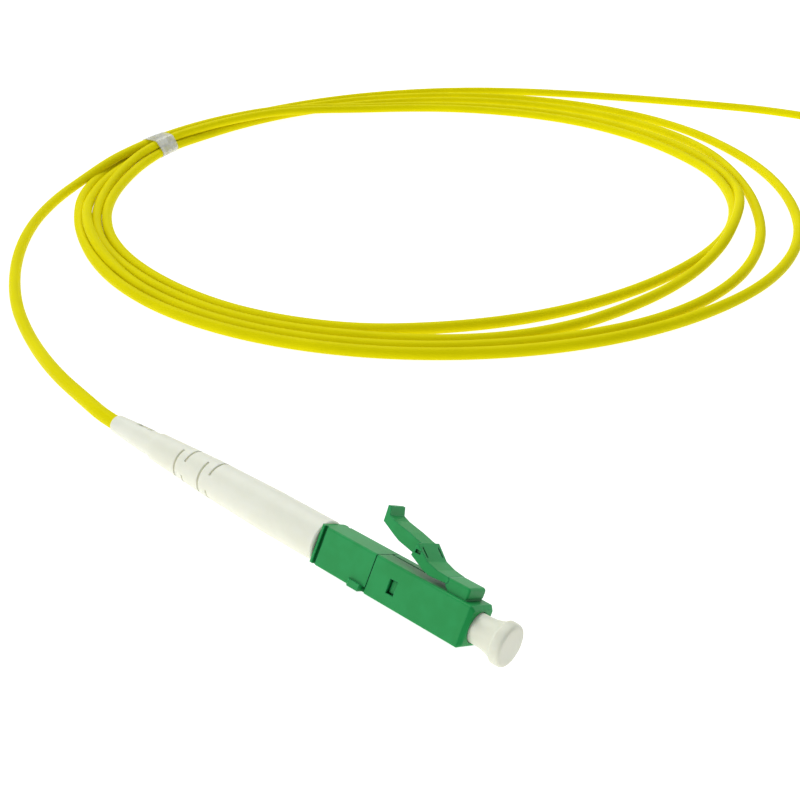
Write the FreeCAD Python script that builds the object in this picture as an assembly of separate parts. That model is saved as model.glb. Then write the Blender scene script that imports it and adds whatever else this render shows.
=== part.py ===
import FreeCAD, Part
import math
import os

V = FreeCAD.Vector

# All lengths in mm, angles in degrees.
# Plug frame: X runs along the ferrule axis towards the dust cap, the front face is at X = 0,
# Z points to the latch and Y to the far side.

# Square plug section
plug_width = 4.52
plug_corner = 0.25
front_length = 12.75
front_bevel_length = 0.45
front_bevel_depth = 0.35
rear_length = 8.3
seam_gap = 0.1

# Openings of the front housing
cavity_length = 4.75
cap_bore_clearance = 0.06
shoulder_thickness = 0.8
shoulder_clearance = 0.3
frame_wall = 0.46
window_length = 1.0
window_height = 1.6
window_drop = 0.13
window_from_seam = 3.02
slit_width = 0.3
slit_length = 4.6
slit_offset = 0.6

# Fixed root of the latch, on top of the front housing
root_width = 3.3
root_setback = 1.35
root_height = 1.34
root_nose_round = 0.35
root_edge_round = 0.2
root_undercut = 0.12
root_neck_height = 0.3
root_foot = 3.8
hinge_setback = 4.4
neck_thickness = 0.7
hinge_clearance = 0.03

# Latch lever: its underside and its top, each as steps back along the plug and up, from the hinge to the tip
arm_width = 2.76
latch_under = [(1.9, -0.1), (0.9, 0.25), (2.3, 1.0), (1.95, 0.37), (0.95, 0.38), (0.8, 0.37), (0.9, 0.4)]
latch_top = [(1.25, 0.11), (1.35, 0.34), (1.74, 1.31), (0.46, 0.09), (1.4, 0.33), (2.1, 0.37), (0.85, 0.3),
             (0.3, 0.92), (0.35, 0.0)]

# Shoulders of the lever, that catch behind the adapter
shoulder_width = 4.3
shoulder_lean = 0.26
shoulder_rise = 1.04
shoulder_slit_place = 1.5
shoulder_slit_width = 0.25
shoulder_slit_length = 1.25
shoulder_slit_rise = 0.25
shoulder_slit_setback = 0.35
pocket_length = 0.65
pocket_height = 0.4
pocket_depth = 0.3
pocket_setback = 0.05
pocket_rise = 0.3

# Rear housing
spigot_clearance = 0.05
spigot_gap = 0.35
snap_recess = 0.4
snap_gap = 0.15
spring_bore_clearance = 0.06
spring_pocket = 2.5
spring_wall = 1.2
lip_length = 0.55
lip_round = 0.5
groove_width = 0.5
groove_depth = 0.45
side_lug_length = 2.1
side_lug_height = 0.78
side_lug_proud = 0.4
side_lug_gap = 0.5
side_lug_ramp = 0.6
notch_height = 0.7
notch_depth = 0.5

# Ferrule, flange, spring and fibre
ferrule_diameter = 1.25
ferrule_press = 1.3
ferrule_stick_out = 1.6
ferrule_chamfer = 0.2
tip_angle = 8.0
seat_gap = 0.1
flange_across_corners = 2.6
flange_length = 1.7
flange_tail_diameter = 1.6
flange_tail_length = 3.0
spring_wire = 0.26
spring_diameter = 2.16
spring_turns = 5.5
spring_end_gap = 0.03
fibre_diameter = 0.9
fibre_clearance = 0.05
fibre_end_gap = 1.3

# Crimp
post_collar_diameter = 3.2
post_collar_length = 3.0
barrel_diameter = 2.2
barrel_reach = 6.0
post_bore_clearance = 0.15
sleeve_wall = 0.4
yarn_thickness = 0.05
sleeve_front_gap = 0.1
sleeve_neck_length = 4.8
sleeve_neck_wall = 0.38

# Boot
boot_length = 38.45
boot_diameter = 5.16
boot_front_chamfer = 0.15
boot_straight = 9.0
boot_waist_diameter = 3.74
boot_bulge = 0.13
boot_tail_diameter = 3.24
boot_tail_length = 8.5
boot_tail_end_diameter = 2.5
boot_tail_taper = 6.0
boot_clearance = 0.05
boot_cavity_gap = 0.3
slot_width = 0.32
slot_depth = 0.6
slot_group_pitch = 4.7
slot_row_pitch = 1.55
slot_groups = 2
first_slot = 18.0
side_slot_half_angle = 54.0
top_slot_half_angle = 72.0
under_slot_half_angle = 60.0
tail_window_length = 3.0
tail_window_width = 1.0
tail_window_depth = 0.42
tail_window_place = 33.1

# Dust cap
cap_bore_fit = 0.025
cap_tube_diameter = 3.3
cap_inside = 3.6
cap_neck = 1.2
cap_flare = 2.45
cap_flare_middle = 0.51
cap_flare_middle_rise = 0.25
cap_flange_diameter = 4.7
cap_flange_thickness = 0.55
cap_rim_chamfer = 0.18
cap_bore_spare = 0.4

# Cable, coil and the band that ties it
cable_diameter = 2.0
coil_height = 4.2
coil_inner_radius = 62.4
coil_centre = (-92.1, 99.6)
tie_angle = 193.4
tie_inset = 1.6
tie_span = 6.4
tie_width = 5.6
tie_thickness = 0.5
tie_round = 0.6
tie_clearance = 0.05

# Where the two plugs lie: plug a at the origin, rolled on its lower edge, plug b flat, parallel to it
roll_a = 32.0
roll_b = 0.0
rest_gap = 0.05
plug_b_place = (16.0, 206.5)

# The coil's width outside its inner radius, by the angle round its centre: loose at the back right, gathered
# at the tie
coil_widths = [
    (192.5, 8.0), (164.0, 10.3), (141.0, 14.6), (121.0, 18.8), (101.0, 21.8), (81.0, 22.4), (66.0, 20.4),
    (51.0, 18.7), (21.0, 16.6), (-9.0, 13.9), (-49.0, 10.6), (-94.0, 8.8), (-139.0, 8.3),
]

# The cable's route outside the coil, as X, Y and the height of its middle above the surface
route_a = [
    (-62.5, 0.0, None), (-67.5, 1.3, 3.2), (-79.5, 3.6, 1.9), (-94.5, 8.4, 1.05), (-109.0, 14.7, 1.05),
    (-124.0, 24.3, 1.05), (-137.0, 35.6, 1.05), (-146.5, 47.6, 1.05), (-150.8, 57.6, 1.8), (-153.9, 67.0, 3.0),
    (-156.6, 75.5, 3.2),
]
route_b = [
    (-56.0, 206.5, None), (-78.0, 203.5, 1.5), (-100.0, 196.5, 1.05), (-120.0, 186.5, 1.05),
    (-137.0, 174.0, 1.05), (-150.5, 157.5, 1.05), (-159.5, 139.0, 1.05), (-163.8, 119.9, 1.05),
    (-163.2, 104.2, 1.4), (-160.6, 94.0, 1.5),
]
arc_share = 0.45

# Places along the plug's axis, worked out from the sizes above
half = plug_width / 2
seam = -front_length
rear_front = seam - seam_gap
rear_end = seam - rear_length
boot_end = rear_end - boot_length
seat = seam + cavity_length
front_bore_end = seat + shoulder_thickness
flange_front = seat - seat_gap
flange_rear = flange_front - flange_length
flange_tail_end = flange_rear - flange_tail_length
spigot_front = seat - spigot_gap
spring_seat = seam - spring_pocket
post_front = spring_seat - spring_wall
post_collar_rear = post_front - post_collar_length
barrel_end = rear_end - barrel_reach
sleeve_front = post_collar_rear - sleeve_front_gap
sleeve_rear = barrel_end - sleeve_neck_length
boot_cavity_end = sleeve_rear - boot_cavity_gap
boot_full = rear_end - boot_straight
boot_step = boot_end + boot_tail_length
ferrule_tip = ferrule_stick_out
ferrule_rear = flange_front - ferrule_press
window_middle = seam + window_from_seam
hinge_x = -hinge_setback
hinge_z = half + root_height - neck_thickness / 2

# Radii and half widths that several pieces share
ferrule_r = ferrule_diameter / 2
fibre_r = fibre_diameter / 2
fibre_bore_r = fibre_r + fibre_clearance
post_bore_r = fibre_r + post_bore_clearance
post_collar_r = post_collar_diameter / 2
flange_r = flange_across_corners / 2
spring_bore_r = flange_r + spring_bore_clearance
front_bore_r = cap_tube_diameter / 2 + cap_bore_clearance
cable_r = cable_diameter / 2
boot_r = boot_diameter / 2
boot_waist_r = boot_waist_diameter / 2
boot_middle_r = (boot_r + boot_waist_r) / 2 + boot_bulge
boot_tail_r = boot_tail_diameter / 2
barrel_r = barrel_diameter / 2
sleeve_bore_r = barrel_r + yarn_thickness
sleeve_r = sleeve_bore_r + sleeve_wall
cavity_half = half - frame_wall
spigot_half = cavity_half - spigot_clearance
knuckle_r = neck_thickness / 2
tie_inner = coil_inner_radius + tie_inset
tie_outer = tie_inner + tie_span

# How high the two axes lie above the surface
turn = math.radians(roll_a)
lug_corner = half + side_lug_proud
axis_height = lug_corner * math.sin(turn) + half * math.cos(turn) + rest_gap
floor_z = -axis_height
plug_b_z = floor_z + boot_r + rest_gap


def block(x0, x1, y0, y1, z0, z1):
    return Part.makeBox(x1 - x0, y1 - y0, z1 - z0, V(x0, y0, z0))


def rod(x0, x1, radius):
    return Part.makeCylinder(radius, x1 - x0, V(x0, 0, 0), V(1, 0, 0))


def turned(points):
    """A solid of revolution round the X axis from a closed outline of (x, radius)."""
    wire = Part.makePolygon([V(x, 0, r) for x, r in points + points[:1]])
    return Part.Face(wire).revolve(V(0, 0, 0), V(1, 0, 0), 360)


def plate(points, width):
    """An outline of (x, z) points, drawn in the middle plane and made width wide."""
    wire = Part.makePolygon([V(x, -width / 2, z) for x, z in points + points[:1]])
    return Part.Face(wire).extrude(V(0, width, 0))


def long_edges(shape):
    return [e for e in shape.Edges if abs(e.BoundBox.XLength - e.Length) < 1e-6]


def square_bar(x0, x1, half_width, corner):
    bar = block(x0, x1, -half_width, half_width, -half_width, half_width)
    return bar.makeFillet(corner, long_edges(bar))


def end_face(shape, x):
    """The outline of the flat end of a bar at x."""
    return [f for f in shape.Faces if f.BoundBox.XLength < 1e-6 and abs(f.BoundBox.XMin - x) < 1e-6][0].OuterWire


def both_sides(shape):
    """The shape and its mirror image across the plug's middle plane."""
    return [shape, shape.mirror(V(0, 0, 0), V(0, 1, 0))]


def knuckle(radius):
    return Part.makeCylinder(radius, root_width, V(hinge_x, -root_width / 2, hinge_z), V(0, 1, 0))


def latch_root():
    top = half + root_height
    nose = -root_setback
    neck = nose - root_undercut
    foot = -root_foot
    low = half - plug_corner
    neck_top = half + root_neck_height
    body = plate([(neck, low), (neck, neck_top), (nose, neck_top), (nose, top), (hinge_x, top),
                  (hinge_x, hinge_z - knuckle_r), (foot, half), (foot, low)], root_width)
    nose_edge = [e for e in body.Edges if e.BoundBox.XLength < 1e-6 and e.BoundBox.ZLength < 1e-6
                 and abs(e.BoundBox.XMin - nose) < 1e-6 and abs(e.BoundBox.ZMin - top) < 1e-6]
    body = body.makeFillet(root_nose_round, nose_edge)
    top_edges = [e for e in long_edges(body) if abs(e.BoundBox.ZMin - top) < 1e-6]
    body = body.makeFillet(root_edge_round, top_edges)
    return body.cut(knuckle(knuckle_r + hinge_clearance))


def front_housing():
    body = square_bar(seam, -front_bevel_length, half, plug_corner)
    nose = square_bar(-front_bevel_length, 0, half - front_bevel_depth, plug_corner)
    bevel = Part.makeLoft([end_face(body, -front_bevel_length), end_face(nose, 0)], True, True)
    body = body.fuse([bevel, latch_root()])
    body = body.cut(rod(front_bore_end, 0, front_bore_r))
    body = body.cut(rod(seat, front_bore_end, ferrule_r + shoulder_clearance))
    body = body.cut(block(seam, seat, -cavity_half, cavity_half, -cavity_half, cavity_half))
    body = body.cut(block(window_middle - window_length / 2, window_middle + window_length / 2,
                          -plug_width, plug_width, -window_drop - window_height / 2, window_height / 2 - window_drop))
    slit = block(seam, seam + slit_length, slit_offset - slit_width / 2, slit_offset + slit_width / 2, 0, half)
    return body.cut(slit).removeSplitter()


def steps(x, z, moves):
    """The points reached from (x, z) by each of the moves back and up."""
    points = []
    for back, rise in moves:
        x -= back
        z += rise
        points.append((x, z))
    return points


def latch_lever():
    low = (hinge_x, hinge_z - knuckle_r)
    high = (hinge_x, hinge_z + knuckle_r)
    under = steps(*low, latch_under)
    top = steps(*high, latch_top)
    arm = plate([low] + under + top[::-1] + [high], arm_width)
    ramp_foot = top[1]
    ramp_head = top[2]
    back = ramp_head[0] - shoulder_lean
    outline = [low, under[0], under[1], (back, low[1] + shoulder_rise), ramp_head, ramp_foot, top[0], high]
    taper = Part.makePolygon([V(hinge_x, -root_width / 2, 0), V(back, -shoulder_width / 2, 0),
                              V(back, shoulder_width / 2, 0), V(hinge_x, root_width / 2, 0),
                              V(hinge_x, -root_width / 2, 0)])
    shoulders = plate(outline, shoulder_width).common(Part.Face(taper).extrude(V(0, 0, 2 * plug_width)))
    slit_end = ramp_head[0] + shoulder_slit_setback
    slit = block(slit_end, slit_end + shoulder_slit_length, shoulder_slit_place - shoulder_slit_width / 2,
                 shoulder_slit_place + shoulder_slit_width / 2, ramp_foot[1] + shoulder_slit_rise, 2 * plug_width)
    pocket_end = ramp_head[0] + pocket_setback
    pocket_floor = ramp_foot[1] + pocket_rise
    pocket = block(pocket_end, pocket_end + pocket_length, shoulder_width / 2 - pocket_depth, shoulder_width,
                   pocket_floor, pocket_floor + pocket_height)
    for cut in both_sides(slit) + both_sides(pocket):
        shoulders = shoulders.cut(cut)
    return arm.fuse([knuckle(knuckle_r), shoulders]).removeSplitter()


def side_lug():
    front = rear_front - side_lug_gap
    back = front - side_lug_length
    inner = -(half - plug_corner)
    wire = Part.makePolygon([V(back, inner, -half), V(back + side_lug_ramp, -lug_corner, -half),
                             V(front, -lug_corner, -half), V(front, inner, -half), V(back, inner, -half)])
    return Part.Face(wire).extrude(V(0, 0, side_lug_height))


def lip_outline():
    """A block, as tall as the rear housing, with its rear upright edges rounded."""
    body = block(rear_end, rear_front, -half, half, -half, half)
    upright = [e for e in body.Edges if e.BoundBox.ZLength > half and abs(e.BoundBox.XMax - rear_end) < 1e-6]
    return body.makeFillet(lip_round, upright)


def rear_housing():
    body = square_bar(rear_end, rear_front, half, plug_corner)
    body = body.common(lip_outline())
    groove_x = rear_end + lip_length
    groove = block(groove_x, groove_x + groove_width, -plug_width, groove_depth - half, -plug_width, plug_width)
    notch = block(rear_front - side_lug_gap, rear_front, -plug_width, notch_depth - half, -half, notch_height - half)
    for cut in both_sides(groove) + both_sides(notch):
        body = body.cut(cut)
    body = body.fuse(both_sides(side_lug()))
    body = body.fuse(square_bar(rear_front, spigot_front, spigot_half, plug_corner))
    snap = half - snap_recess
    snap_half_length = window_length / 2 - snap_gap
    snap_half_height = window_height / 2 - snap_gap
    body = body.fuse(block(window_middle - snap_half_length, window_middle + snap_half_length, -snap, snap,
                           -window_drop - snap_half_height, snap_half_height - window_drop))
    body = body.cut(rod(spring_seat, spigot_front, spring_bore_r))
    body = body.cut(rod(post_front, spring_seat, post_bore_r))
    body = body.cut(rod(rear_end, post_front, post_collar_r))
    return body.removeSplitter()


def ferrule():
    r = ferrule_r
    body = turned([(ferrule_rear, 0), (ferrule_rear, r), (ferrule_tip - ferrule_chamfer, r),
                   (ferrule_tip, r - ferrule_chamfer), (ferrule_tip, 0)])
    slope = math.tan(math.radians(tip_angle)) * r
    wedge = plate([(ferrule_tip, -r), (ferrule_tip - 2 * slope, r), (ferrule_tip + r, r), (ferrule_tip + r, -r)],
                  4 * r)
    return body.cut(wedge)


def hexagon(radius):
    """Corners of a hexagon round the origin, as pairs."""
    return [(radius * math.cos(math.radians(60 * i)), radius * math.sin(math.radians(60 * i))) for i in range(6)]


def ferrule_flange():
    corners = [V(flange_rear, y, z) for y, z in hexagon(flange_r)]
    nut = Part.Face(Part.makePolygon(corners + corners[:1])).extrude(V(flange_length, 0, 0))
    body = nut.fuse(rod(flange_tail_end, flange_rear, flange_tail_diameter / 2))
    body = body.cut(rod(ferrule_rear, flange_front, ferrule_r))
    return body.cut(rod(flange_tail_end, ferrule_rear, fibre_bore_r))


def ferrule_spring():
    length = flange_rear - spring_seat - spring_wire - 2 * spring_end_gap
    radius = spring_diameter / 2
    path = Part.Wire(Part.makeHelix(length / spring_turns, length, radius))
    corners = [V(radius + x, 0, z) for x, z in hexagon(spring_wire / 2)]
    coil = path.makePipeShell([Part.makePolygon(corners + corners[:1])], True, True)
    coil.rotate(V(0, 0, 0), V(0, 1, 0), 90)
    coil.translate(V(spring_seat + spring_end_gap + spring_wire / 2, 0, 0))
    return coil


def buffered_fibre():
    return rod(barrel_end + fibre_end_gap, ferrule_rear, fibre_r)


def crimp_post():
    return turned([(post_front, post_bore_r), (post_front, post_collar_r), (post_collar_rear, post_collar_r),
                   (post_collar_rear, barrel_r), (barrel_end, barrel_r), (barrel_end, post_bore_r)])


def crimp_sleeve():
    neck_bore = cable_r + yarn_thickness
    neck_r = neck_bore + sleeve_neck_wall
    return turned([(sleeve_front, sleeve_bore_r), (sleeve_front, sleeve_r), (barrel_end, sleeve_r),
                   (barrel_end - sleeve_wall, neck_r), (sleeve_rear, neck_r), (sleeve_rear, neck_bore),
                   (barrel_end, neck_bore), (barrel_end, sleeve_bore_r)])


def jacket_end():
    return rod(boot_end, barrel_end, cable_r)


def boot_surface(x):
    """The boot's radius at x, on its taper."""
    middle = (boot_full + boot_step) / 2
    if x > middle:
        return boot_middle_r + (boot_r - boot_middle_r) * (x - middle) / (boot_full - middle)
    return boot_waist_r + (boot_middle_r - boot_waist_r) * (x - boot_step) / (middle - boot_step)


def ring_slot(x, start_angle, sweep):
    """A groove round part of the boot, slot_width wide, from start_angle over sweep degrees."""
    floor_r = boot_surface(x) - slot_depth
    outer = boot_r + slot_depth
    face = Part.makePolygon([V(x - slot_width / 2, 0, floor_r), V(x + slot_width / 2, 0, floor_r),
                             V(x + slot_width / 2, 0, outer), V(x - slot_width / 2, 0, outer),
                             V(x - slot_width / 2, 0, floor_r)])
    groove = Part.Face(face).revolve(V(0, 0, 0), V(1, 0, 0), sweep)
    groove.rotate(V(0, 0, 0), V(1, 0, 0), start_angle)
    return groove


def boot():
    bore = cable_r + boot_clearance
    cavity = sleeve_r + boot_clearance
    body = turned([(rear_end, cavity), (rear_end, boot_r - boot_front_chamfer),
                   (rear_end - boot_front_chamfer, boot_r), (boot_full, boot_r),
                   ((boot_full + boot_step) / 2, boot_middle_r), (boot_step, boot_waist_r),
                   (boot_step, boot_tail_r), (boot_end + boot_tail_taper, boot_tail_r),
                   (boot_end, boot_tail_end_diameter / 2), (boot_end, bore), (boot_cavity_end, bore),
                   (boot_cavity_end, cavity)])
    for group in range(slot_groups):
        top_row = rear_end - first_slot - group * slot_group_pitch
        side_row = top_row - slot_row_pitch
        slots = [(top_row, 0, top_slot_half_angle), (top_row, 180, under_slot_half_angle),
                 (side_row, 90, side_slot_half_angle), (side_row, 270, side_slot_half_angle)]
        for row, middle, half_angle in slots:
            body = body.cut(ring_slot(row, middle - half_angle, 2 * half_angle))
    window_x = rear_end - tail_window_place
    deep = boot_tail_r - tail_window_depth
    for low, high in ((deep, boot_r), (-boot_r, -deep)):
        body = body.cut(block(window_x - tail_window_length / 2, window_x + tail_window_length / 2,
                              -tail_window_width / 2, tail_window_width / 2, low, high))
    return body


def dust_cap():
    tube_r = cap_tube_diameter / 2
    rim_r = cap_flange_diameter / 2
    bore = ferrule_r + cap_bore_fit
    chamfer = cap_rim_chamfer
    flange_x = cap_neck + cap_flare
    end = flange_x + cap_flange_thickness
    bore_end = ferrule_tip + cap_bore_spare
    rise = rim_r - chamfer - tube_r
    flare = Part.Arc(V(cap_neck, 0, tube_r),
                     V(cap_neck + cap_flare * cap_flare_middle, 0, tube_r + rise * cap_flare_middle_rise),
                     V(flange_x, 0, rim_r - chamfer))
    around = Part.makePolygon([V(flange_x, 0, rim_r - chamfer), V(flange_x + chamfer, 0, rim_r),
                               V(end - chamfer, 0, rim_r), V(end, 0, rim_r - chamfer), V(end, 0, 0),
                               V(bore_end, 0, 0), V(bore_end, 0, bore), V(-cap_inside, 0, bore),
                               V(-cap_inside, 0, tube_r), V(cap_neck, 0, tube_r)])
    wire = Part.Wire([flare.toShape()] + around.Edges)
    return Part.Face(wire).revolve(V(0, 0, 0), V(1, 0, 0), 360)


def at_coil(angle, radius):
    turned_by = math.radians(angle)
    return V(coil_centre[0] + radius * math.cos(turned_by), coil_centre[1] + radius * math.sin(turned_by), floor_z)


def tie_block(inner, outer, low, high, width):
    """A block across the bundle at the tie, from radius inner to outer and height low to high."""
    piece = Part.makeBox(outer - inner, width, high - low, V(inner, -width / 2, low))
    piece.rotate(V(0, 0, 0), V(0, 0, 1), tie_angle)
    piece.translate(V(coil_centre[0], coil_centre[1], floor_z))
    return piece


def cable_coil():
    curve = Part.BSplineCurve()
    curve.interpolate([at_coil(angle, coil_inner_radius + width) for angle, width in coil_widths], PeriodicFlag=True)
    outside = Part.Wire(curve.toShape())
    inside = Part.Wire(Part.makeCircle(coil_inner_radius, V(coil_centre[0], coil_centre[1], floor_z)))
    ring = Part.Face(outside).cut(Part.Face(inside)).Faces[0].extrude(V(0, 0, coil_height))
    core = tie_block(tie_inner + tie_clearance, tie_outer - tie_clearance, tie_thickness + tie_clearance, coil_height,
                     tie_width + 4 * tie_clearance)
    around = tie_block(tie_inner - 5 * tie_thickness, tie_outer + 5 * tie_thickness, -tie_thickness,
                       coil_height + tie_thickness, tie_width + 2 * tie_clearance)
    return ring.cut(around.cut(core))


def coil_tie():
    inner_top = coil_height + tie_clearance
    band = tie_block(tie_inner - tie_thickness, tie_outer + tie_thickness, 0, inner_top + tie_thickness, tie_width)
    across = FreeCAD.Rotation(V(0, 0, 1), tie_angle).multVec(V(0, 1, 0))
    corners = [e for e in band.Edges
               if abs(abs((e.Vertexes[1].Point - e.Vertexes[0].Point).normalize().dot(across)) - 1) < 1e-6]
    band = band.makeFillet(tie_round, corners)
    return band.cut(tie_block(tie_inner, tie_outer, tie_thickness, inner_top, 2 * tie_width))


def cable_tail(name, start, route, coil):
    """Straight runs joined by tangent arcs, as large as the runs allow, from the boot into the coil."""
    points = [start]
    for x, y, height in route:
        points.append(V(x, y, start.z if height is None else floor_z + height))
    edges = []
    radii = []
    last = points[0]
    for before, here, after in zip(points, points[1:], points[2:]):
        towards = (here - before).normalize()
        onward = (after - here).normalize()
        angle = towards.getAngle(onward)
        trim = arc_share * min((here - before).Length, (after - here).Length)
        radius = trim / math.tan(angle / 2)
        enter = here - towards * trim
        leave = here + onward * trim
        middle = here + (onward - towards).normalize() * (radius / math.cos(angle / 2) - radius)
        edges.append(Part.LineSegment(last, enter).toShape())
        edges.append(Part.Arc(enter, middle, leave).toShape())
        radii.append(round(radius, 1))
        last = leave
    edges.append(Part.LineSegment(last, points[-1]).toShape())
    path = Part.Wire(edges)
    section = Part.Wire(Part.makeCircle(cable_r, points[0], (points[1] - points[0]).normalize()))
    solid = path.makePipeShell([section], True, False)
    print(name, "radii", radii, "length", round(path.Length, 1), "volume", round(solid.Volume, 1),
          "section times length", round(math.pi * cable_r ** 2 * path.Length, 1))
    return solid.cut(coil)


PLUG_PIECES = {
    "front_housing": front_housing,
    "latch_lever": latch_lever,
    "rear_housing": rear_housing,
    "ferrule": ferrule,
    "ferrule_flange": ferrule_flange,
    "ferrule_spring": ferrule_spring,
    "buffered_fibre": buffered_fibre,
    "crimp_post": crimp_post,
    "crimp_sleeve": crimp_sleeve,
    "jacket_end": jacket_end,
    "boot": boot,
    "dust_cap": dust_cap,
}


def plug_placements():
    """Plug a on the origin and plug b beside the coil, each rolled about its own axis."""
    along = V(1, 0, 0)
    return {
        "a": FreeCAD.Placement(V(0, 0, 0), FreeCAD.Rotation(along, -roll_a)),
        "b": FreeCAD.Placement(V(plug_b_place[0], plug_b_place[1], plug_b_z), FreeCAD.Rotation(along, -roll_b)),
    }


def main():
    nodes = {}
    placements = plug_placements()
    for name, make in PLUG_PIECES.items():
        piece = make()
        for end, placement in placements.items():
            nodes[name + "_" + end] = piece.transformed(placement.toMatrix(), copy=True)
    coil = cable_coil()
    nodes["cable_coil"] = coil
    nodes["coil_tie"] = coil_tie()
    for end, route in (("a", route_a), ("b", route_b)):
        start = placements[end].multVec(V(boot_end, 0, 0))
        nodes["cable_tail_" + end] = cable_tail("cable_tail_" + end, start, route, coil)
    os.makedirs("parts", exist_ok=True)
    for name, shape in nodes.items():
        print(name, "solids", len(shape.Solids), "valid", shape.isValid(), "volume", round(shape.Volume, 3))
        shape.exportStep("parts/" + name + ".step")


main()
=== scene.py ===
import math

import bmesh
import bpy
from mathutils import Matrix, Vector


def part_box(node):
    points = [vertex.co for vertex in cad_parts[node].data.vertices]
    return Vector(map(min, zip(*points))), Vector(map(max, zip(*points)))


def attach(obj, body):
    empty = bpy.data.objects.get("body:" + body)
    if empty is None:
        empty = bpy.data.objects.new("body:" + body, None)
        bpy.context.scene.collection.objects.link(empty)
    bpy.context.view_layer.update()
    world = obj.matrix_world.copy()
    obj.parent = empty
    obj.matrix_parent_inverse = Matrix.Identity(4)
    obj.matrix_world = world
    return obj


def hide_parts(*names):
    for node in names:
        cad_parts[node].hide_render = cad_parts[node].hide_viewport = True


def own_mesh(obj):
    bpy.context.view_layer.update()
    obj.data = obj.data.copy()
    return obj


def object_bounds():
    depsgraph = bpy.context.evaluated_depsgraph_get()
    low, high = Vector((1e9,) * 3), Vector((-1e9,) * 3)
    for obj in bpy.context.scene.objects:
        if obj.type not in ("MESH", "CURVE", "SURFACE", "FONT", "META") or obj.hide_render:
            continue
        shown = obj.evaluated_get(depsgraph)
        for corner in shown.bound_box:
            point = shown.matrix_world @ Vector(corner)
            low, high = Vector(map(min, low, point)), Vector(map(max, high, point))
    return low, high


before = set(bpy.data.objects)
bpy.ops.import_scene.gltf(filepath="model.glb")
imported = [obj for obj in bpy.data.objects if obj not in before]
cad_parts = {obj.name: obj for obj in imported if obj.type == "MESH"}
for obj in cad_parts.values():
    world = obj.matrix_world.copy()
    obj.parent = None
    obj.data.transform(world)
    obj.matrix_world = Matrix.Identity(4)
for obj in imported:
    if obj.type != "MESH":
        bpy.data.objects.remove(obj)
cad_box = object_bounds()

MM = 0.001

# The surface that everything lies on, and the cable's diameter
FLOOR = cad_box[0].z
JACKET = 2.0 * MM

# The sockets of a Mix node that take its two colours, and the one that gives the mixed colour
MIX_FIRST = 6
MIX_SECOND = 7
MIX_RESULT = 2

# How often the shading looks round an edge for its wear and painted highlight and for its rounding, and into
# a gap for its painted shade and painted light
WEAR_AND_HIGHLIGHT_SAMPLES = 4
ROUNDING_SAMPLES = 6
GAP_SAMPLES = 8


class Value:
    """A shader socket that takes part in Python sums; each operator adds a Math node."""

    def __init__(self, nodes, socket):
        self.nodes = nodes
        self.socket = socket

    def math(self, operation, first, second):
        return self.nodes.node("ShaderNodeMath", {"operation": operation}, {0: first, 1: second})

    def __add__(self, other):
        return self.math("ADD", self, other)

    def __radd__(self, other):
        return self.math("ADD", other, self)

    def __rsub__(self, other):
        return self.math("SUBTRACT", other, self)

    def __mul__(self, other):
        return self.math("MULTIPLY", self, other)

    def __rmul__(self, other):
        return self.math("MULTIPLY", other, self)

    def ramp(self, low, high):
        """0 at low and 1 at high, with soft ends."""
        return self.nodes.node("ShaderNodeMapRange", {"interpolation_type": "SMOOTHSTEP"},
                               {"Value": self, "From Min": low, "From Max": high})


class Nodes:
    """An emptied node tree that is being filled."""

    def __init__(self, tree):
        self.tree = tree
        self.tree.nodes.clear()

    def node(self, kind, settings, sockets, output=0):
        """Adds a node, sets its settings first and then its sockets, and gives one of its outputs, if any."""
        made = self.tree.nodes.new(kind)
        for key, value in settings.items():
            setattr(made, key, value)
        for key, value in sockets.items():
            if isinstance(value, Value):
                self.tree.links.new(value.socket, made.inputs[key])
            else:
                made.inputs[key].default_value = value
        if len(made.outputs):
            return Value(self, made.outputs[output])


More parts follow.
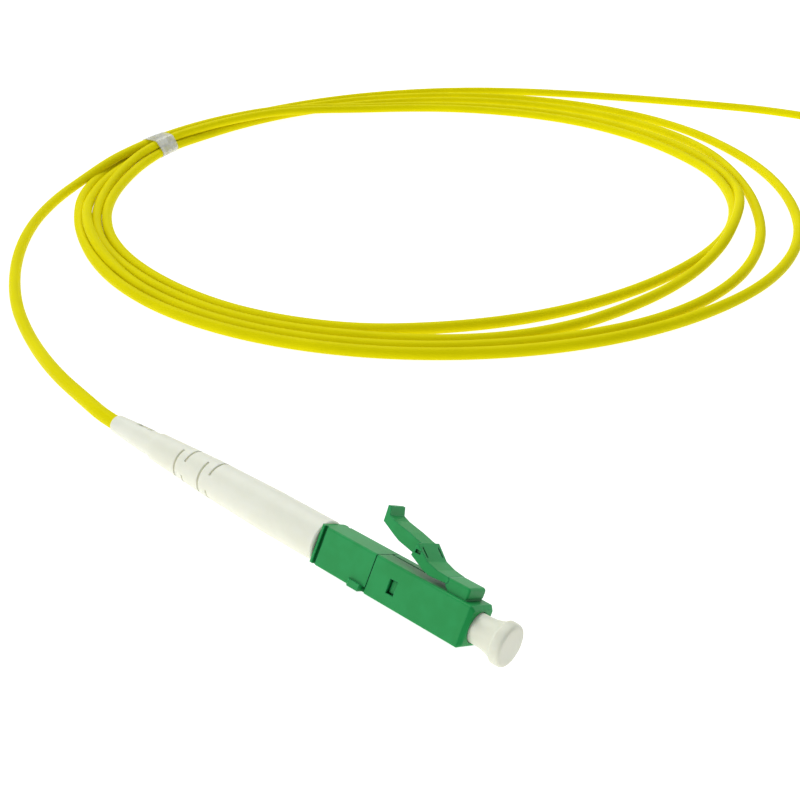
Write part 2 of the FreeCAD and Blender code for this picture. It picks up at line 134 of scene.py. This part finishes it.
class Finish(Nodes):
    """A material being made, from its patterns to its surface shader."""

    def __init__(self, name):
        self.material = bpy.data.materials.new(name)
        self.material.use_nodes = True
        super().__init__(self.material.node_tree)
        self.place = self.node("ShaderNodeTexCoord", {}, {}, "Object")

    def noise(self, size, detail, rough=0.55, where=None):
        """Cloudy noise with features of about size, in metres."""
        sockets = {"Vector": where or self.place, "Scale": 1.0 / size, "Detail": detail, "Roughness": rough}
        return self.node("ShaderNodeTexNoise", {}, sockets)

    def stretched(self, factors):
        """The place on the piece with each axis multiplied by its factor."""
        return self.node("ShaderNodeVectorMath", {"operation": "MULTIPLY"}, {0: self.place, 1: factors})

    def mix(self, share, first, second):
        """One colour into another by share; a colour is a socket or three numbers."""
        first, second = (shade if isinstance(shade, Value) else (*shade, 1.0) for shade in (first, second))
        return self.node("ShaderNodeMix", {"data_type": "RGBA"},
                         {"Factor": share, MIX_FIRST: first, MIX_SECOND: second}, MIX_RESULT)

    def rounded(self, radius, samples=ROUNDING_SAMPLES):
        """The surface's normal with its edges rounded by radius."""
        return self.node("ShaderNodeBevel", {"samples": samples}, {"Radius": radius})

    def edges(self, radius):
        """1 along the edges of the solid within radius, 0 on its flats."""
        flat_normal = self.node("ShaderNodeNewGeometry", {}, {}, "Normal")
        alike = self.node("ShaderNodeVectorMath", {"operation": "DOT_PRODUCT"},
                          {0: self.rounded(radius, WEAR_AND_HIGHLIGHT_SAMPLES), 1: flat_normal}, "Value")
        return (1.0 - alike).ramp(0.01, 0.22)

    def crevices(self, reach, low, high):
        """0 in the open, 1 deep in a gap, looking reach far; low and high are closed-in shares."""
        open_share = self.node("ShaderNodeAmbientOcclusion", {"samples": GAP_SAMPLES},
                               {"Distance": reach}, "AO")
        return (1.0 - open_share).ramp(low, high)

    def bump(self, height, distance, strength, normal=None):
        """The normal with height pressed into it, distance deep."""
        sockets = {"Strength": strength, "Distance": distance, "Height": height}
        if normal:
            sockets["Normal"] = normal
        return self.node("ShaderNodeBump", {}, sockets)

    def surface(self, **sockets):
        """Ends the material with a surface shader; a socket's name has _ for each space."""
        named = {key.replace("_", " "): value for key, value in sockets.items()}
        shader = self.node("ShaderNodeBsdfPrincipled", {}, named)
        self.node("ShaderNodeOutputMaterial", {}, {"Surface": shader})
        return self.material


def green_plastic():
    """Satin moulded plastic: fine spark-eroded grain, faint flow clouds, edges a little paler from wear and a
    painted highlight, and painted shade in its gaps.
    """
    deep, fresh = (0.007, 0.295, 0.060), (0.011, 0.325, 0.074)
    rubbed_and_highlight, painted_gap_shade = (0.10, 0.46, 0.26), (0.001, 0.020, 0.005)
    plastic = Finish("green_plastic")
    clouds = plastic.noise(2.4 * MM, 2.0)
    grain = plastic.noise(0.09 * MM, 2.0, 0.6)
    wear_and_highlight = plastic.edges(0.13 * MM) * plastic.noise(0.5 * MM, 3.0).ramp(0.25, 0.6)
    base = plastic.mix(clouds.ramp(0.35, 0.7), deep, fresh)
    # Edges a little paler: partly wear, partly a painted highlight on their rounding
    base = plastic.mix(wear_and_highlight * 0.55, base, rubbed_and_highlight)
    # Painted shade: much darker deep in gaps and recesses, where shade falls
    base = plastic.mix(plastic.crevices(0.55 * MM, 0.32, 0.76) * 0.95, base, painted_gap_shade)
    rough = 0.34 + 0.14 * grain + 0.05 * clouds
    return plastic.surface(Base_Color=base, Roughness=rough, Specular_IOR_Level=0.22,
                           Normal=plastic.bump(grain, 0.006 * MM, 0.5, plastic.rounded(0.18 * MM)))


def ivory(name, first, second, rough):
    """Soft ivory elastomer: clouded colour, fine matt grain, a little light let into it, and painted light in
    its slots and gaps that lifts their shade.
    """
    soiled, painted_slot_light = (0.42, 0.41, 0.33), (0.93, 0.93, 0.82)
    rubber = Finish(name)
    clouds = rubber.noise(3.0 * MM, 3.0)
    grain = rubber.noise(0.12 * MM, 3.0, 0.6)
    grime = rubber.noise(1.1 * MM, 5.0, 0.65).ramp(0.62, 0.85)
    base = rubber.mix(clouds.ramp(0.3, 0.7), first, second)
    base = rubber.mix(grime * 0.2, base, soiled)
    # Painted light: paler deep in slots and gaps, where it lifts the shade that falls there
    base = rubber.mix(rubber.crevices(0.5 * MM, 0.5, 0.95) * 0.7, base, painted_slot_light)
    return rubber.surface(Base_Color=base, Roughness=rough + 0.12 * grain, Subsurface_Weight=0.3,
                          Subsurface_Radius=(1.0, 0.9, 0.7), Subsurface_Scale=0.6 * MM,
                          Normal=rubber.bump(grain, 0.008 * MM, 0.4, rubber.rounded(0.14 * MM)))


def yellow_jacket():
    """Extruded cable jacket: satin yellow with a faint ripple, a speckle of dust and slow colour drift."""
    deep, bright, dusty = (0.77, 0.685, 0.0003), (0.82, 0.73, 0.0006), (0.52, 0.44, 0.004)
    skin = Finish("yellow_jacket")
    drift = skin.noise(14 * MM, 2.0)
    speckle = skin.noise(0.35 * MM, 4.0, 0.6)
    ripple = skin.noise(1.3 * MM, 2.0)
    base = skin.mix(drift.ramp(0.3, 0.7), deep, bright)
    base = skin.mix(speckle.ramp(0.6, 0.8) * 0.35, base, dusty)
    return skin.surface(Base_Color=base, Roughness=0.40 + 0.16 * speckle, Specular_IOR_Level=0.02,
                        Normal=skin.bump(ripple * 0.7 + speckle * 0.3, 0.03 * MM, 0.6))


def clear_film():
    """Clear plastic band: thin and glossy, milky in patches, with fine creases."""
    clear, milky = (0.74, 0.76, 0.75), (0.92, 0.93, 0.92)
    film = Finish("clear_film")
    crease = film.noise(1.0, 2.0, 0.4, film.stretched((500.0, 500.0, 160.0)))
    milk = film.noise(2.2 * MM, 2.0).ramp(0.3, 0.75)
    return film.surface(Base_Color=film.mix(milk, clear, milky), Roughness=0.10 + 0.12 * milk,
                        Alpha=0.34 + 0.2 * milk, Specular_IOR_Level=0.6,
                        Normal=film.bump(crease, 0.12 * MM, 0.5))


def turned_metal(name, shade, rough):
    """Metal turned on a lathe: fine rings along the axis, a little uneven."""
    metal = Finish(name)
    rings = metal.noise(0.05 * MM, 2.0, 0.5, metal.stretched((1.0, 0.02, 0.02)))
    tone = metal.noise(1.0 * MM, 2.0)
    dull = tuple(0.8 * part for part in shade)
    return metal.surface(Base_Color=metal.mix(tone, dull, shade), Metallic=1.0,
                         Roughness=rough + 0.15 * rings, Normal=metal.bump(rings, 0.004 * MM, 0.5))


def white_ceramic():
    """Polished ceramic, very slightly clouded."""
    grey, white = (0.80, 0.80, 0.77), (0.88, 0.88, 0.86)
    ceramic = Finish("white_ceramic")
    tone = ceramic.noise(0.6 * MM, 3.0)
    return ceramic.surface(Base_Color=ceramic.mix(tone, grey, white), Roughness=0.08 + 0.06 * tone,
                           Normal=ceramic.bump(tone, 0.001 * MM, 0.3))


def dress_nodes(jacket):
    """Gives its finish to each solid of the plugs that no other piece replaces."""
    boot = ivory("ivory_boot", (0.84, 0.83, 0.665), (0.875, 0.865, 0.71), 0.42)
    green = green_plastic()
    nickel = turned_metal("nickel", (0.72, 0.70, 0.66), 0.22)
    finishes = {
        "front_housing": green, "latch_lever": green, "rear_housing": green, "boot": boot,
        "ferrule": white_ceramic(), "ferrule_flange": nickel, "crimp_post": nickel,
        "crimp_sleeve": turned_metal("pressed_brass", (0.74, 0.62, 0.36), 0.3),
        "buffered_fibre": ivory("fibre_buffer", (0.80, 0.80, 0.78), (0.84, 0.84, 0.82), 0.35),
        "jacket_end": jacket,
    }
    for name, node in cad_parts.items():
        kind = name[:-2] if name.endswith(("_a", "_b")) else name
        if kind in finishes:
            node.data.materials.clear()
            node.data.materials.append(finishes[kind])


def smooth_piece(name, shape, finish, levels):
    """Turns a bmesh into a smooth-shaded object with a subdivision surface."""
    for face in shape.faces:
        face.smooth = True
    mesh = bpy.data.meshes.new(name)
    shape.to_mesh(mesh)
    shape.free()
    mesh.materials.append(finish)
    piece = bpy.data.objects.new(name, mesh)
    bpy.context.collection.objects.link(piece)
    rounding = piece.modifiers.new("rounding", "SUBSURF")
    rounding.levels = rounding.render_levels = levels
    return piece


def round_line(name, points, diameter, steps, ring_steps):
    """A smooth curve with these control points and a round section; steps set how finely each is drawn."""
    curve = bpy.data.curves.new(name, "CURVE")
    curve.dimensions = "3D"
    line = curve.splines.new("NURBS")
    line.points.add(len(points) - 1)
    for point, place in zip(line.points, points):
        point.co = (*place, 1.0)
    line.order_u = 3
    line.use_endpoint_u = True
    line.resolution_u = steps
    curve.bevel_depth = diameter / 2
    curve.bevel_resolution = ring_steps
    curve.use_fill_caps = True
    return curve


# A dust cap, in millimetres: the radius of its bore, which grips the ferrule, where the bore ends in front of
# the plug, and the cap's outline from there, round its tube and rim, to the middle of its face, as distance
# from the plug's front face and radius. Then how finely it is turned, welded and rounded.
CAP_BORE = 0.65
CAP_BORE_END = 2.0
CAP_OUTLINE = [
    (CAP_BORE_END, 0.0), (CAP_BORE_END, 0.3), (CAP_BORE_END, 0.62), (CAP_BORE_END, CAP_BORE),
    (CAP_BORE_END - 0.1, CAP_BORE), (1.0, CAP_BORE), (-2.0, CAP_BORE), (-3.4, CAP_BORE),
    (-3.6, CAP_BORE + 0.12), (-3.6, 1.1), (-3.6, 1.55), (-3.5, 1.65), (-2.4, 1.65), (-1.2, 1.65),
    (0.0, 1.65), (0.7, 1.65), (1.2, 1.68), (1.7, 1.75), (2.15, 1.87), (2.5, 1.98), (2.8, 2.1),
    (2.92, 2.2), (2.97, 2.31), (3.08, 2.36), (3.4, 2.37), (3.8, 2.35), (4.02, 2.29), (4.14, 2.17),
    (4.19, 2.0), (4.2, 1.7), (4.2, 1.2), (4.2, 0.7), (4.2, 0.3), (4.2, 0.0),
]
CAP_STEPS = 32
CAP_WELD = 0.001
CAP_ROUNDING = 2


def dust_cap(end, finish):
    """One cap, turned about its plug's axis, hollow for the ferrule, with a thick soft rim."""
    low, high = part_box(f"dust_cap_{end}")
    front = high.x - CAP_OUTLINE[-1][0] * MM
    shape = bmesh.new()
    outline = [shape.verts.new((front + x * MM, 0.0, radius * MM)) for x, radius in CAP_OUTLINE]
    runs = [shape.edges.new(pair) for pair in zip(outline, outline[1:])]
    bmesh.ops.spin(shape, geom=outline + runs, cent=(0, 0, 0), axis=(1, 0, 0), angle=2 * math.pi,
                   steps=CAP_STEPS)
    bmesh.ops.remove_doubles(shape, verts=shape.verts, dist=CAP_WELD * MM)
    bmesh.ops.recalc_face_normals(shape, faces=shape.faces)
    bmesh.ops.translate(shape, verts=shape.verts, vec=(0.0, (low.y + high.y) / 2, (low.z + high.z) / 2))
    piece = smooth_piece(f"soft_cap_{end}", shape, finish, CAP_ROUNDING)
    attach(piece, f"cap_{end}")
    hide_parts(f"dust_cap_{end}")
    return piece


# The spring behind a ferrule, in millimetres, how much closer its end turns are wound, and how finely it is
# drawn
SPRING_RADIUS = 1.08
SPRING_WIRE = 0.26
SPRING_TURNS = 5.5
SPRING_END_CLOSENESS = 0.6
SPRING_POINTS_A_TURN = 16
SPRING_STEPS = 3
SPRING_RING_STEPS = 3


def spring_points(low, high):
    """The middle of the wire, wound from the low end of the spring's box to the high end."""
    middle = (low + high) / 2
    start = low.x + SPRING_WIRE / 2 * MM
    rise = high.x - low.x - SPRING_WIRE * MM
    count = round(SPRING_TURNS * SPRING_POINTS_A_TURN)
    points = []
    for index in range(count + 1):
        share = index / count
        turn = 2 * math.pi * SPRING_TURNS * share
        climb = share - SPRING_END_CLOSENESS * math.sin(2 * math.pi * share) / (2 * math.pi)
        points.append((start + climb * rise, middle.y + SPRING_RADIUS * MM * math.cos(turn),
                       middle.z + SPRING_RADIUS * MM * math.sin(turn)))
    return points


def ferrule_spring(end, finish):
    """A round-wire spring with its end turns wound closer."""
    low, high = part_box(f"ferrule_spring_{end}")
    curve = round_line("spring_wire", spring_points(low, high), SPRING_WIRE * MM, SPRING_STEPS,
                       SPRING_RING_STEPS)
    drawn = bpy.data.objects.new("spring_wire", curve)
    bpy.context.collection.objects.link(drawn)
    bpy.context.view_layer.update()
    mesh = bpy.data.meshes.new_from_object(drawn.evaluated_get(bpy.context.evaluated_depsgraph_get()))
    bpy.data.objects.remove(drawn)
    bpy.data.curves.remove(curve)
    mesh.materials.clear()
    mesh.materials.append(finish)
    for face in mesh.polygons:
        face.use_smooth = True
    piece = bpy.data.objects.new(f"push_spring_{end}", mesh)
    bpy.context.collection.objects.link(piece)
    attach(piece, "cable")
    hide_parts(f"ferrule_spring_{end}")
    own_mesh(piece)
    return piece


# The coil: its centre in millimetres, the angle that its first turn starts at, and the points of each turn
COIL_CENTRE = (-92.1, 99.6)
WINDING_START = 192.5
POINTS_A_TURN = 36

# The tie's film round the gathered turns, in millimetres: for each strand at a corner of the bundle, its
# radius in the coil, how far that grows for each millimetre of the tie's width, its height, and the angles
# between which the film bends round it. Then its place in the coil, its width, and how finely it is drawn.
TIE_CORNERS = [(69.4, 0.055, 1.42, -90, 30), (68.45, 0.03, 3.2, 30, 90), (66.2, 0.0, 3.08, 90, 150),
               (65.11, -0.055, 1.4, 150, 270)]
TIE_ANGLE = 193.8
TIE_RADIUS = 68.45
TIE_WIDTH = 6.4
TIE_ROWS = 9
TIE_BEND_STEPS = 4
TIE_FILM = 0.08
TIE_ROUNDING = 1

# How far the film stays from the middle of a strand, and its creases: height, waves along the width and round
# the bundle
TIE_REACH = 1.13
TIE_CREASES = [(0.035, 2.3, 3.0), (0.02, 5.1, -1.0)]


def tie_ring(shape, along):
    """The points of the film round the bundle, at one place along the tie's width."""
    turn = math.radians(TIE_ANGLE) + along / TIE_RADIUS
    ring = []
    for radius, growth, height, start, stop in TIE_CORNERS:
        for step in range(TIE_BEND_STEPS + 1):
            bend = math.radians(start + (stop - start) * step / TIE_BEND_STEPS)
            slack = TIE_REACH
            for crease, across, around in TIE_CREASES:
                slack += crease * math.sin(across * along + around * bend)
            out = radius + growth * along + slack * math.cos(bend)
            ring.append(shape.verts.new(((COIL_CENTRE[0] + out * math.cos(turn)) * MM,
                                         (COIL_CENTRE[1] + out * math.sin(turn)) * MM,
                                         FLOOR + (height + slack * math.sin(bend)) * MM)))
    return ring


def coil_tie():
    """A clear band drawn tight round the bundle, creased a little along its width."""
    shape = bmesh.new()
    rings = [tie_ring(shape, (row / (TIE_ROWS - 1) - 0.5) * TIE_WIDTH) for row in range(TIE_ROWS)]
    for ring, after in zip(rings, rings[1:]):
        for index in range(len(ring)):
            shape.faces.new((ring[index - 1], ring[index], after[index], after[index - 1]))
    bmesh.ops.recalc_face_normals(shape, faces=shape.faces)
    piece = smooth_piece("tie_film", shape, clear_film(), TIE_ROUNDING)
    film = piece.modifiers.new("film", "SOLIDIFY")
    film.thickness = TIE_FILM * MM
    film.offset = 1.0
    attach(piece, "cable")
    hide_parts("coil_tie")
    return piece


# How finely the cable is drawn along its line and round its section
JACKET_STEPS = 8
JACKET_RING_STEPS = 4

# The routes of the two leads, in millimetres: X, Y and the height of the cable's middle above the surface
LEAD_A = [
    (-59.5, 0.0, 3.376), (-62.5, 0.0, 3.376), (-67.5, 0.8, 3.4), (-79.5, 3.3, 2.6), (-94.5, 8.4, 1.25),
    (-109.0, 14.7, 1.05), (-124.0, 24.3, 1.05), (-137.0, 35.6, 1.05), (-146.5, 47.6, 1.05),
    (-150.8, 57.6, 1.8), (-153.9, 67.0, 3.0), (-156.6, 75.5, 3.2),
]
LEAD_B = [
    (-160.6, 94.0, 1.5), (-163.2, 104.2, 1.4), (-163.8, 119.9, 1.05), (-159.5, 139.0, 1.05),
    (-150.5, 157.5, 1.05), (-137.0, 174.0, 1.05), (-120.0, 186.5, 1.05), (-100.0, 196.5, 1.05),
    (-78.0, 203.5, 1.5), (-56.0, 206.5, 2.63), (-38.0, 206.5, 2.63),
]

# How the coil lies: angle wound on from the tie, radius and height, a paragraph for each turn. At the tie the
# starts of the first two turns lie on the other strands. Elsewhere the turns lie on the surface, but as the
# camera sees them the first rises over the second at the near right, and the third over its neighbours at the
# near left. The last turn swings wide at the back right.
LAY = [
    (0, 68.3, 3.2), (14, 68.3, 3.1), (30, 68.2, 3.0), (52, 69.0, 1.0), (100, 73.0, 1.0), (115, 72.6, 1.0),
    (128, 71.9, 1.0), (138, 70.9, 1.0), (147, 69.7, 1.2), (155, 68.6, 2.0), (162, 66.6, 2.95),
    (170, 65.7, 2.9), (178, 65.35, 2.4), (187, 64.8, 1.3), (195, 64.9, 1.0), (203, 65.5, 1.0),
    (211, 66.2, 1.0), (219, 67.6, 1.0), (227, 68.5, 1.0), (235, 68.6, 1.0), (251, 67.2, 1.0),
    (267, 67.0, 1.0), (275, 66.3, 1.0), (283, 65.85, 1.0), (291, 65.45, 1.0), (299, 65.45, 1.0),
    (318, 65.47, 1.0), (331, 65.5, 1.1), (339, 65.9, 1.3), (347, 66.2, 2.3), (354, 66.3, 2.9),

    (360, 66.2, 3.2), (374, 66.1, 3.1), (390, 66.0, 3.0), (412, 66.9, 1.0), (460, 69.2, 1.0),
    (475, 68.8, 1.0), (488, 68.2, 1.0), (498, 68.5, 1.0), (515, 66.8, 1.0), (531, 65.0, 1.0),
    (539, 63.9, 1.0), (547, 62.75, 1.0), (555, 62.1, 1.0), (563, 61.85, 1.0), (571, 61.9, 1.0),
    (587, 62.7, 1.0), (603, 64.0, 1.0), (611, 64.9, 1.0), (627, 64.8, 1.0), (643, 63.7, 1.0),
    (651, 63.4, 1.0), (691, 63.5, 1.0), (699, 63.6, 1.0), (707, 64.4, 1.1),

    (720, 65.2, 1.5), (732, 65.9, 1.0), (744, 67.6, 1.0), (758, 70.0, 1.0), (772, 72.4, 1.0),
    (800, 77.4, 1.0), (820, 78.6, 1.0), (835, 78.2, 1.0), (848, 76.0, 1.0), (853, 74.9, 1.0),
    (858, 73.5, 1.0), (867, 71.9, 1.0), (875, 71.0, 1.0), (883, 70.6, 1.0), (899, 71.3, 1.0),
    (915, 72.3, 1.0), (931, 72.2, 1.0), (947, 70.9, 1.0), (963, 70.2, 1.0), (987, 69.2, 1.0),
    (1003, 68.1, 1.0), (1011, 67.5, 1.0), (1017, 67.35, 1.3), (1021, 67.2, 2.0), (1026, 67.0, 2.45),
    (1034, 67.05, 2.45), (1040, 67.2, 2.2), (1045, 67.45, 1.6), (1050, 67.75, 1.05), (1058, 68.1, 1.0),
    (1066, 67.9, 1.1),

    (1080, 67.25, 1.5), (1090, 68.0, 1.0), (1100, 69.8, 1.0), (1114, 73.0, 1.0), (1134, 77.4, 1.0),
    (1152, 81.0, 1.0), (1172, 83.7, 1.0), (1187, 84.3, 1.0), (1198, 83.5, 1.0), (1210, 81.5, 1.0),
    (1219, 80.4, 1.0), (1235, 78.6, 1.0), (1251, 77.9, 1.0), (1267, 76.8, 1.0), (1283, 75.1, 1.0),
    (1299, 73.9, 1.0), (1315, 72.8, 1.0), (1347, 71.3, 1.0), (1363, 70.4, 1.0), (1371, 69.65, 1.0),
    (1379, 69.0, 1.0), (1387, 68.5, 1.0), (1394, 68.5, 1.0), (1400, 68.9, 1.0), (1410, 69.85, 1.0),
    (1418, 70.4, 1.0), (1427, 70.1, 1.1), (1440, 69.3, 1.5),
]


def lay_at(wound):
    """Radius and height of the coil at an angle wound on from the tie."""
    for (start, start_radius, start_height), (stop, stop_radius, stop_height) in zip(LAY, LAY[1:]):
        if wound <= stop:
            share = (wound - start) / (stop - start)
            return (start_radius + (stop_radius - start_radius) * share,
                    start_height + (stop_height - start_height) * share)


def coil_points():
    """The control points of the coil's turns, so far out that the smooth line reaches the stated radius."""
    step = 360.0 / POINTS_A_TURN
    # In the middle of a span the line is at (point before + 6 * point + point after) / 8
    spread = 8 / (6 + 2 * math.cos(math.radians(step)))
    points = []
    for index in range(round(LAY[-1][0] / step) + 1):
        radius, height = lay_at(index * step)
        angle = math.radians(WINDING_START - index * step)
        points.append((COIL_CENTRE[0] + radius * spread * math.cos(angle),
                       COIL_CENTRE[1] + radius * spread * math.sin(angle), height))
    return points


def whole_cable(jacket, riders):
    """The whole cable from boot to boot as one smooth line. The pieces given as riders are not used."""
    route = [(x * MM, y * MM, FLOOR + height * MM) for x, y, height in LEAD_A + coil_points() + LEAD_B]
    curve = round_line("cable_jacket", route, JACKET, JACKET_STEPS, JACKET_RING_STEPS)
    curve.materials.append(jacket)
    piece = bpy.data.objects.new("cable_jacket", curve)
    bpy.context.collection.objects.link(piece)
    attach(piece, "cable")
    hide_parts("cable_tail_a", "cable_coil", "cable_tail_b")


# The light from all round, the white behind everything, and the glowing white floor, in metres
AMBIENT = (0.90, 0.98, 1.12, 1.0)
AMBIENT_STRENGTH = 0.39
BACKDROP = (1.0, 1.0, 1.0, 1.0)
FLOOR_REACH = 3.0
FLOOR_CLOUDS = 0.3
FLOOR_SHADES = (0.30, 0.30, 0.30), (0.31, 0.31, 0.31)
FLOOR_GLOW = 3.1

# The lamps: name, place, the point that it faces and its size in metres, and its power in watts
LAMPS = [
    ("overhead", (-0.45, 0.40, 0.75), (-0.05, 0.08, 0.0), 0.8, 5.6),
    ("fill", (-0.42, -0.60, 0.22), (-0.03, 0.0, 0.0), 0.6, 2.3),
]

# The camera: its place in millimetres, with its height above the surface, how many degrees it looks down and
# is turned to the left, its focal length in pixels of a frame this wide, and its sensor and the nearest
# distance that it sees in millimetres
CAMERA_PLACE = (45.778, -65.236, 76.916)
CAMERA_DOWN = 30.591
CAMERA_LEFT = 40.668
FOCAL_PIXELS = 1050
FRAME_PIXELS = 800
SENSOR_WIDTH = 36.0
NEAREST_SEEN = 5.0


def surroundings():
    """Even soft light from all round, with plain white behind the object."""
    world = bpy.data.worlds.new("studio")
    world.use_nodes = True
    sky = Nodes(world.node_tree)
    ambient = sky.node("ShaderNodeBackground", {}, {"Color": AMBIENT, "Strength": AMBIENT_STRENGTH})
    backdrop = sky.node("ShaderNodeBackground", {}, {"Color": BACKDROP})
    seen = sky.node("ShaderNodeLightPath", {}, {}, "Is Camera Ray")
    both = sky.node("ShaderNodeMixShader", {}, {"Fac": seen, 1: ambient, 2: backdrop})
    sky.node("ShaderNodeOutputWorld", {}, {"Surface": both})
    bpy.context.scene.world = world


def white_floor():
    """The surface that the cable lies on."""
    corners = [(-FLOOR_REACH, -FLOOR_REACH), (FLOOR_REACH, -FLOOR_REACH), (FLOOR_REACH, FLOOR_REACH),
               (-FLOOR_REACH, FLOOR_REACH)]
    mesh = bpy.data.meshes.new("floor")
    mesh.from_pydata([(x, y, FLOOR) for x, y in corners], [], [(0, 1, 2, 3)])
    paint = Finish("white_sweep")
    shade = paint.mix(paint.noise(FLOOR_CLOUDS, 2.0), *FLOOR_SHADES)
    mesh.materials.append(paint.surface(Base_Color=shade, Roughness=0.9, Emission_Color=shade,
                                        Emission_Strength=FLOOR_GLOW))
    floor = bpy.data.objects.new("floor", mesh)
    bpy.context.collection.objects.link(floor)


def lamps():
    """One broad light above and behind the cable, and a fill from the front left."""
    for name, place, aim, size, power in LAMPS:
        lamp = bpy.data.lights.new(name, "AREA")
        lamp.size = size
        lamp.energy = power
        lamp_object = bpy.data.objects.new(name, lamp)
        lamp_object.location = place
        lamp_object.rotation_euler = (Vector(aim) - Vector(place)).to_track_quat("-Z", "Y").to_euler()
        bpy.context.collection.objects.link(lamp_object)


def camera():
    """The photograph's camera."""
    lens = bpy.data.cameras.new("camera")
    lens.sensor_width = SENSOR_WIDTH
    lens.lens = SENSOR_WIDTH * FOCAL_PIXELS / FRAME_PIXELS
    lens.clip_start = NEAREST_SEEN * MM
    x, y, height = CAMERA_PLACE
    camera_object = bpy.data.objects.new("camera", lens)
    camera_object.location = (x * MM, y * MM, FLOOR + height * MM)
    camera_object.rotation_euler = (math.radians(90 - CAMERA_DOWN), 0, math.radians(CAMERA_LEFT))
    bpy.context.collection.objects.link(camera_object)
    bpy.context.scene.camera = camera_object
    bpy.context.scene.view_settings.view_transform = "Standard"


jacket_finish = yellow_jacket()
dress_nodes(jacket_finish)

cap_finish = ivory("ivory_cap", (0.77, 0.765, 0.60), (0.81, 0.80, 0.64), 0.36)
dust_cap("a", cap_finish)
far_cap = dust_cap("b", cap_finish)

spring_finish = turned_metal("spring_steel", (0.56, 0.56, 0.57), 0.28)
ferrule_spring("a", spring_finish)
far_spring = ferrule_spring("b", spring_finish)

whole_cable(jacket_finish, [coil_tie(), far_cap, far_spring])

surroundings()
white_floor()
lamps()
camera()
